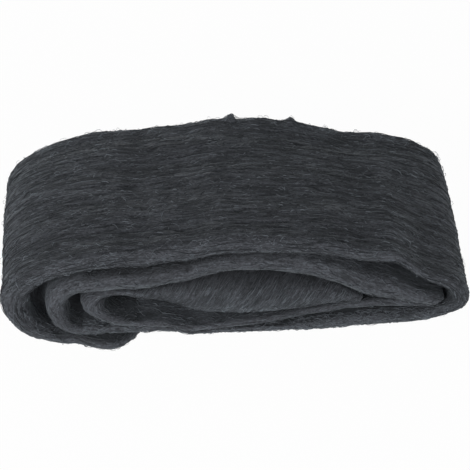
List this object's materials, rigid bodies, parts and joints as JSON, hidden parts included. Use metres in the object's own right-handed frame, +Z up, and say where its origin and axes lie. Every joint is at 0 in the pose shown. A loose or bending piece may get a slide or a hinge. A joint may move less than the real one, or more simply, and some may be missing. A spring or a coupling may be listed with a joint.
{
  "type": "steel wool bundle",
  "caption": "Soft dark band of fine steel wool fibres, wound flat into a long oval roll that lies on its side with the folded layers showing at the front.",
  "frame": {"origin": "centre of the bundle's box on the floor it lies on", "axes": "+X along the bundle's length, +Y across the band towards the back, +Z up; the open folded side faces -Y"},
  "size_m": [0.24, 0.117, 0.0634],
  "materials": {
    "steel_wool": "matte dark grey mass of fine steel fibres"
  },
  "bodies": {
    "root": {"steel_wool_band": "steel_wool"}
  },
  "joints": []
}
